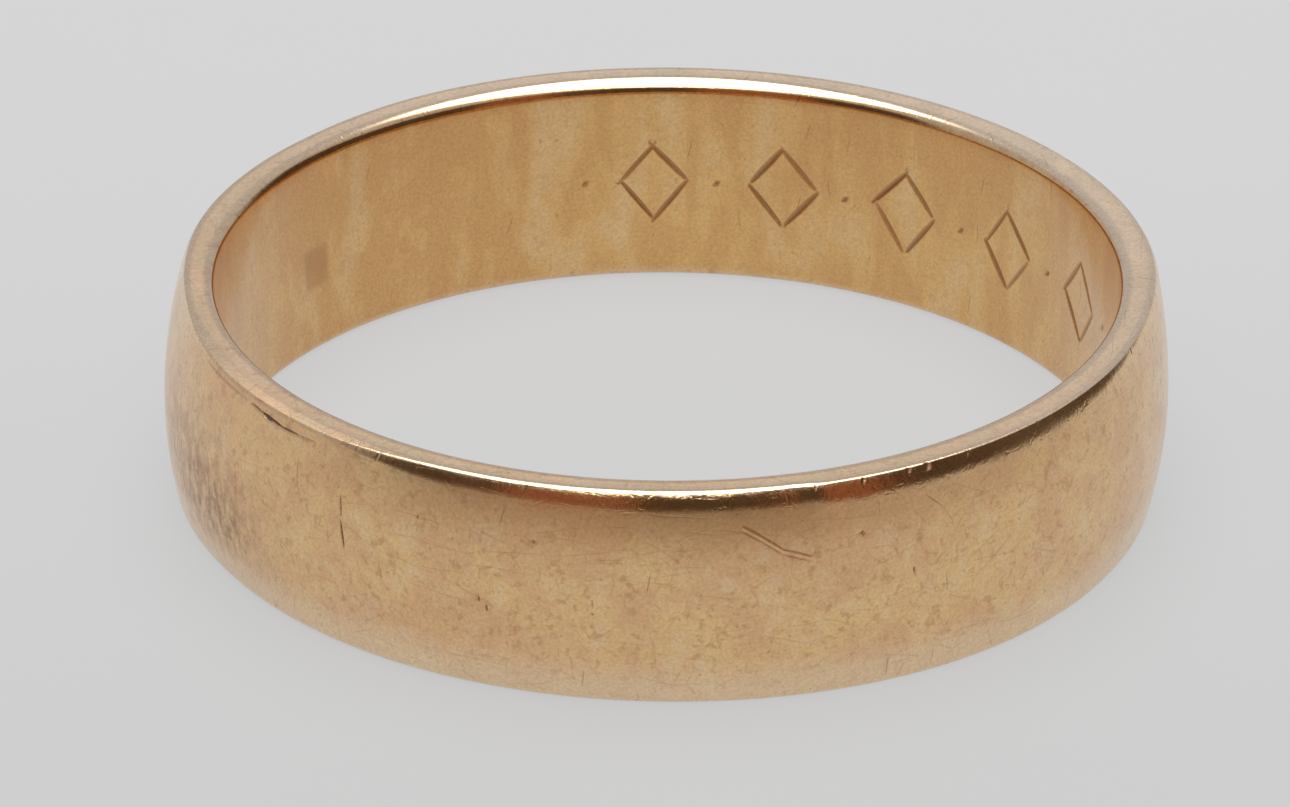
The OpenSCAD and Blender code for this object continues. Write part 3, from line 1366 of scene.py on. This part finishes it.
    def roughness(self, seen: GoldReadings) -> Socket:
        """How matt the gold is: satin, polished at its corners, dull in tarnish and in cuts.

        Args:
            seen: the material's readings.

        Returns:
            The roughness.
        """
        bench, marks = seen.bench, seen.marks
        least, most = self.satin - self.satin_change, self.satin + self.satin_change
        rough = bench.spread(seen.noises["clouds"], 0.3, 0.7, least, most)
        polished = bench.sums("MAXIMUM", marks["edge"], marks["inner_edge"])
        rough = bench.sums("SUBTRACT", rough, bench.sums("MULTIPLY", polished, self.satin - self.polish))
        rough = bench.sums("ADD", rough, bench.sums("MULTIPLY", seen.stained, 0.15))
        return bench.sums("ADD", rough, bench.sums("MULTIPLY", marks["groove"], 0.2), clamp=True)

    def bump(self, seen: GoldReadings) -> Socket:
        """The finest relief: grain, hairlines, pits and, on the polished edges, small knocks.

        Args:
            seen: the material's readings.

        Returns:
            The bent normal.
        """
        bench, noises = seen.bench, seen.noises
        height = bench.sums("SUBTRACT", bench.sums("MULTIPLY", noises["grain"], 0.5), seen.hair)
        height = bench.sums("SUBTRACT", height, bench.sums("MULTIPLY", noises["pits"], 1.5))
        height = bench.sums("ADD", height, bench.sums("MULTIPLY", noises["spots"], 0.8))
        broad = bench.sums("MULTIPLY", noises["spots"], 5.0)
        fine = bench.sums("MULTIPLY", noises["grain"], 2.0)
        knocks = bench.sums("MULTIPLY", bench.sums("ADD", broad, fine), seen.marks["edge"])
        height = bench.sums("ADD", height, knocks)
        inputs = {"Strength": 1.0, "Distance": self.relief * MM, "Height": height}
        return bench.add("ShaderNodeBump", inputs).outputs[0]

    def material(self) -> bpy.types.Material:
        """Makes the material.

        Returns:
            The new material.
        """
        made = bpy.data.materials.new(self.name)
        made.use_nodes = True
        seen = self.read(NodeBench(made.node_tree))
        shader = seen.bench.add(
            "ShaderNodeBsdfPrincipled",
            {
                "Base Color": self.colour(seen),
                "Metallic": 1.0,
                "Roughness": self.roughness(seen),
                "Normal": self.bump(seen),
                "Coat Weight": self.film,
                "Coat Roughness": self.film_rough,
            },
        )
        seen.bench.add("ShaderNodeOutputMaterial", {"Surface": shader.outputs[0]})
        return made


@dataclass(frozen=True)
class PaleTable:
    """The pale smooth surface that the band lies on, which glows with painted light.

    The glow fills in the shade that the band would cast, and it is painted darker towards the front, a painted
    shadow on the camera's side.
    """

    name: str = "pale_table"
    colour: Colour = (0.06, 0.06, 0.06)
    glow_front: float = 0.41
    glow_middle: float = 0.505
    glow_back: float = 0.55
    front: float = -110.0
    middle: float = -17.0
    back: float = 25.0
    roughness: float = 0.6
    gloss: float = 0.1
    smudges: Fade = Fade(0.3, 0.7, 0.975, 1.01)

    def material(self) -> bpy.types.Material:
        """Makes the material.

        Returns:
            The new material.
        """
        made = bpy.data.materials.new(self.name)
        made.use_nodes = True
        bench = NodeBench(made.node_tree)
        where = bench.add("ShaderNodeTexCoord").outputs["Object"]
        shade = self.smudges.on(bench, bench.noise(where, scale=60.0, detail=4.0, rough=0.6))
        shades = bench.add("ShaderNodeCombineColor", {0: shade, 1: shade, 2: shade}).outputs[0]
        colour = bench.blend(1.0, (*self.colour, 1.0), shades, "MULTIPLY")
        deep = bench.add("ShaderNodeSeparateXYZ", {0: where}).outputs[1]
        front, middle, back = self.front * MM, self.middle * MM, self.back * MM
        # Painted light and shade: the table glows, dimmest at the front and brightest at the back.
        near = bench.spread(deep, front, middle, self.glow_front, self.glow_middle)
        far = bench.spread(deep, middle, back, 0.0, self.glow_back - self.glow_middle)
        shader = bench.add(
            "ShaderNodeBsdfPrincipled",
            {
                "Base Color": colour,
                "Roughness": self.roughness,
                "Specular IOR Level": self.gloss,
                "Emission Color": (1.0, 1.0, 1.0, 1.0),
                "Emission Strength": bench.sums("ADD", near, far),
            },
        )
        bench.add("ShaderNodeOutputMaterial", {"Surface": shader.outputs[0]})
        return made


@dataclass(frozen=True)
class LightTent:
    """The light all round: pale walls, a bright oval roof light and a dark opening towards the camera.

    The roof light's sizes are how far it reaches at a height of one above the band. The angles of the opening
    and of the warm things that stand in it count from the camera's side, to the right in front of the band.
    """

    wall: Colour = (0.47, 0.49, 0.56)
    foot: Colour = (0.7, 0.7, 0.7)
    roof: Colour = (4.2, 4.2, 4.15)
    dark: Colour = (0.08, 0.053, 0.036)
    warm: Colour = (0.28, 0.12, 0.07)
    roof_half_width: float = 0.6
    roof_half_depth: float = 0.97
    roof_forward: float = 0.2
    least_height: float = 0.02
    roof_rim: Fade = Fade(0.88, 1.12, 1.0, 0.0)
    foot_top: Fade = turning(0.3, 1.2, 1.0, 0.0)
    opening_left: Fade = turning(-76.0, -64.0)
    opening_right: Fade = turning(118.0, 140.0, 1.0, 0.0)
    opening_top: Fade = turning(34.0, 40.0, 1.0, 0.0)
    warm_left: tuple[Fade, Fade] = (turning(-42.0, -33.0), turning(-12.0, -4.0, 1.0, 0.0))
    warm_right: tuple[Fade, Fade] = (turning(25.0, 33.0), turning(46.0, 54.0, 1.0, 0.0))

    def roof_light(self, bench: NodeBench, east: Socket, north: Socket, up: Socket) -> Socket:
        """Where the roof light is.

        Args:
            bench: the world's node bench.
            east: the first part of the direction.
            north: the second part.
            up: the third part.

        Returns:
            1 in the roof light, 0 outside its soft rim.
        """
        above = bench.sums("MAXIMUM", up, self.least_height)
        across = bench.sums("DIVIDE", bench.sums("DIVIDE", east, above), self.roof_half_width)
        deep = bench.sums("ADD", bench.sums("DIVIDE", north, above), self.roof_forward)
        deep = bench.sums("DIVIDE", deep, self.roof_half_depth)
        return self.roof_rim.on(bench, bench.sums("SQRT", bench.square_sum(across, deep)))

    def world(self) -> bpy.types.World:
        """Hangs the tent.

        Returns:
            The world that holds it.
        """
        world = bpy.data.worlds.new("light_tent")
        world.use_nodes = True
        bench = NodeBench(world.node_tree)
        way = bench.add("ShaderNodeTexCoord").outputs["Generated"]
        east, north, up = tuple(bench.add("ShaderNodeSeparateXYZ", {0: way}).outputs)
        climb = bench.sums("ARCTAN2", up, bench.sums("SQRT", bench.square_sum(east, north)))
        side = bench.sums("ARCTAN2", east, bench.sums("MULTIPLY", north, -1.0))
        colour = bench.blend(self.roof_light(bench, east, north, up), (*self.wall, 1.0), (*self.roof, 1.0))
        opening = bench.both(self.opening_left.on(bench, side), self.opening_right.on(bench, side))
        opening = bench.both(opening, self.opening_top.on(bench, climb))
        left, right = (
            bench.both(starts.on(bench, side), stops.on(bench, side))
            for starts, stops in (self.warm_left, self.warm_right)
        )
        brown_and_shade = bench.sums("ADD", left, right, clamp=True)
        beyond = bench.blend(brown_and_shade, (*self.dark, 1.0), (*self.warm, 1.0))
        colour = bench.blend(opening, colour, beyond)
        # The foot of the wall has the table's own tone, so that the two meet without a line.
        colour = bench.blend(self.foot_top.on(bench, climb), colour, (*self.foot, 1.0))
        back = bench.add("ShaderNodeBackground", {"Color": colour, "Strength": 1.0})
        bench.add("ShaderNodeOutputWorld", {"Surface": back.outputs[0]})
        bpy.context.scene.world = world
        return world


@dataclass
class Studio:
    """The table, the light tent around it and the camera, with its lengths in millimetres."""

    table_height: float
    table_radius: float = 4000.0
    table_sides: int = 96
    camera_distance: float = 203.2
    camera_height_angle: float = 26.46
    camera_aim: tuple[float, float, float] = (-0.46, 0.0, -0.73)
    camera_roll: float = 0.19
    lens: float = 268.9
    sensor: float = 36.0
    nearest: float = 10.0
    farthest: float = 10000.0

    def table(self) -> bpy.types.Object:
        """Lays the table under the band.

        Returns:
            The table.
        """
        mesh = bmesh.new()
        bmesh.ops.create_circle(mesh, cap_ends=True, radius=self.table_radius * MM, segments=self.table_sides)
        data = bpy.data.meshes.new("table")
        mesh.to_mesh(data)
        mesh.free()
        table = bpy.data.objects.new("table", data)
        table.location.z = self.table_height * MM
        table.data.materials.append(PaleTable().material())
        bpy.context.scene.collection.objects.link(table)
        return table

    def camera(self) -> bpy.types.Object:
        """Sets up the camera.

        Returns:
            The camera, made the scene's own.
        """
        lift = math.radians(self.camera_height_angle)
        place = Vector((0.0, -math.cos(lift), math.sin(lift))) * self.camera_distance * MM
        forward = (Vector(self.camera_aim) * MM - place).normalized()
        right = forward.cross(Vector((0.0, 0.0, 1.0))).normalized()
        up = right.cross(forward)
        roll = Matrix.Rotation(math.radians(self.camera_roll), 3, "Z")
        turn = Matrix((right, up, -forward)).transposed() @ roll
        data = bpy.data.cameras.new("camera")
        data.lens = self.lens
        data.sensor_width = self.sensor
        data.clip_start = self.nearest * MM
        data.clip_end = self.farthest * MM
        camera = bpy.data.objects.new("camera", data)
        camera.matrix_world = Matrix.Translation(place) @ turn.to_4x4()
        bpy.context.scene.collection.objects.link(camera)
        bpy.context.scene.camera = camera
        return camera


@dataclass
class WeddingBand:
    """The band and the film of solder that closes it, as thick as the gap between the band's two ends."""

    section: DSection
    gap: float = 0.08
    band_steps: int = 380
    seam_steps: int = 4

    def dress(self, thing: bpy.types.Object, node: str, finish: WornGold) -> None:
        """Gives a piece its finish and its place in the frame.

        Args:
            thing: the piece.
            node: the drawn node that it stands for.
            finish: what it is made of.
        """
        thing.data.materials.append(finish.material())
        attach(thing, "root")
        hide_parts(node)
        LOG.info("%s: %d faces", thing.name, len(thing.data.polygons))

    def build(self) -> list[bpy.types.Object]:
        """Builds both pieces.

        Returns:
            The band and the solder seam.
        """
        half_gap = math.degrees(self.gap / 2 / self.section.bore_radius)
        joint = self.section.seam_angle
        wear = HandWear(self.section.crown_radius, self.section.half_width)
        face_cuts = wear.named_scratches() + wear.chance_scratches() + wear.nicks() + wear.knocks()
        bore_cuts = LozengeRow().strokes(self.section.bore_radius)
        band = StripMesh(
            self.section,
            "gold_band",
            joint + half_gap - FULL_TURN,
            joint - half_gap,
            steps=self.band_steps,
            bore_cuts=bore_cuts,
            face_cuts=face_cuts,
            punch=PunchMark(),
        ).build()
        finish = WornGold("worn_gold", face=(0.87, 0.58, 0.275), bore=(0.80, 0.495, 0.185))
        self.dress(band, "band", finish)
        seam = StripMesh(
            self.section,
            "solder_film",
            joint - half_gap,
            joint + half_gap,
            steps=self.seam_steps,
            face_cuts=face_cuts,
            finer=1,
        ).build()
        solder = WornGold("worn_solder", face=(0.87, 0.585, 0.285), bore=(0.80, 0.50, 0.195))
        self.dress(seam, "solder_seam", solder)
        return [band, seam]


def main() -> None:
    """Builds the studio and the band, and writes how big they are."""
    logging.basicConfig(level=logging.INFO, format="%(message)s")
    low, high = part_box("band")
    bore = next(m for m in frame["record"]["mounts"] if m["name"] == "finger_bore")
    section = DSection(
        bore_radius=bore["dims"]["r_mm"],
        crown_radius=(high.x - low.x) / 2 / MM,
        half_width=(high.z - low.z) / 2 / MM,
    )
    LOG.info("section: %s", section)
    studio = Studio(table_height=low.z / MM)
    studio.table()
    LightTent().world()
    studio.camera()
    seam_low, seam_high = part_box("solder_seam")
    LOG.info("solder seam from %s to %s", tuple(seam_low), tuple(seam_high))
    WeddingBand(section).build()
    scene = bpy.context.scene
    scene.view_settings.view_transform = "Standard"


if __name__ == "__main__":
    main()
